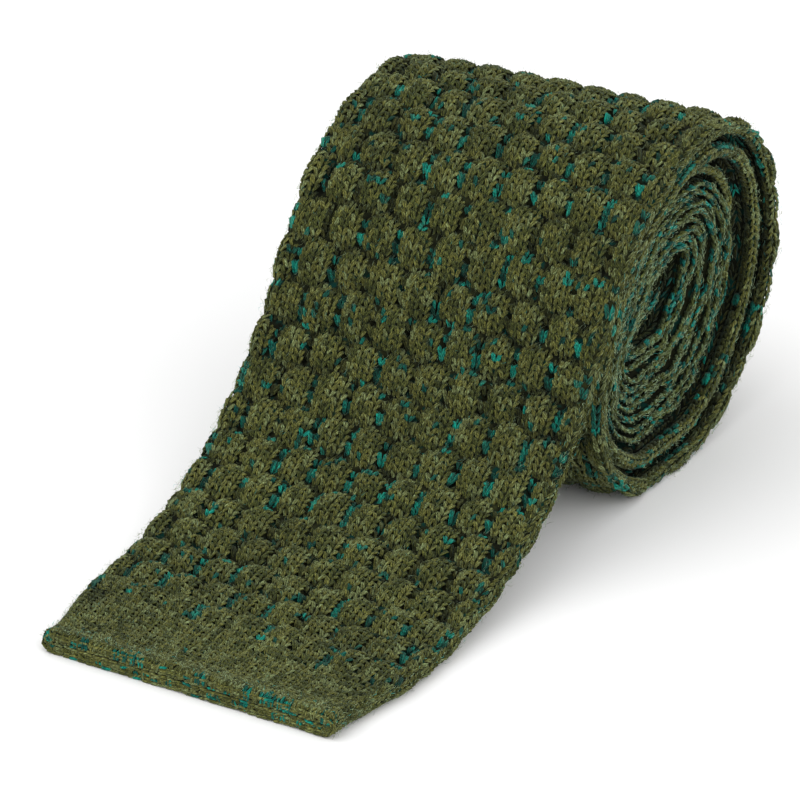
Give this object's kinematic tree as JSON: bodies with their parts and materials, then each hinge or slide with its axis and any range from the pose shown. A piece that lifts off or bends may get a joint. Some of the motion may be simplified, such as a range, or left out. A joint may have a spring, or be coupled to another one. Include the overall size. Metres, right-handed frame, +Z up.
{
  "type": "rolled knit tie",
  "caption": "Wide square-ended knit tie in a bubble stitch, stored rolled up in an oval coil with its front end lying forward.",
  "frame": {"origin": "middle of the underside of the rolled tie's bounding box, on the surface that it rests on", "axes": "+X across the tie, +Y from the front end to the back of the roll, +Z up from the surface"},
  "size_m": [0.072, 0.1696, 0.0663],
  "materials": {
    "bubble_knit": "raised bubble knit in olive wool, with teal stitches in its valleys",
    "plain_knit": "plain olive knit, its edge flecked with teal",
    "neck_knit": "thin olive knit flecked with teal"
  },
  "bodies": {
    "root": {"end_band": "plain_knit", "front_blade": "bubble_knit", "neck_band": "neck_knit", "tail_blade": "neck_knit"}
  },
  "joints": []
}
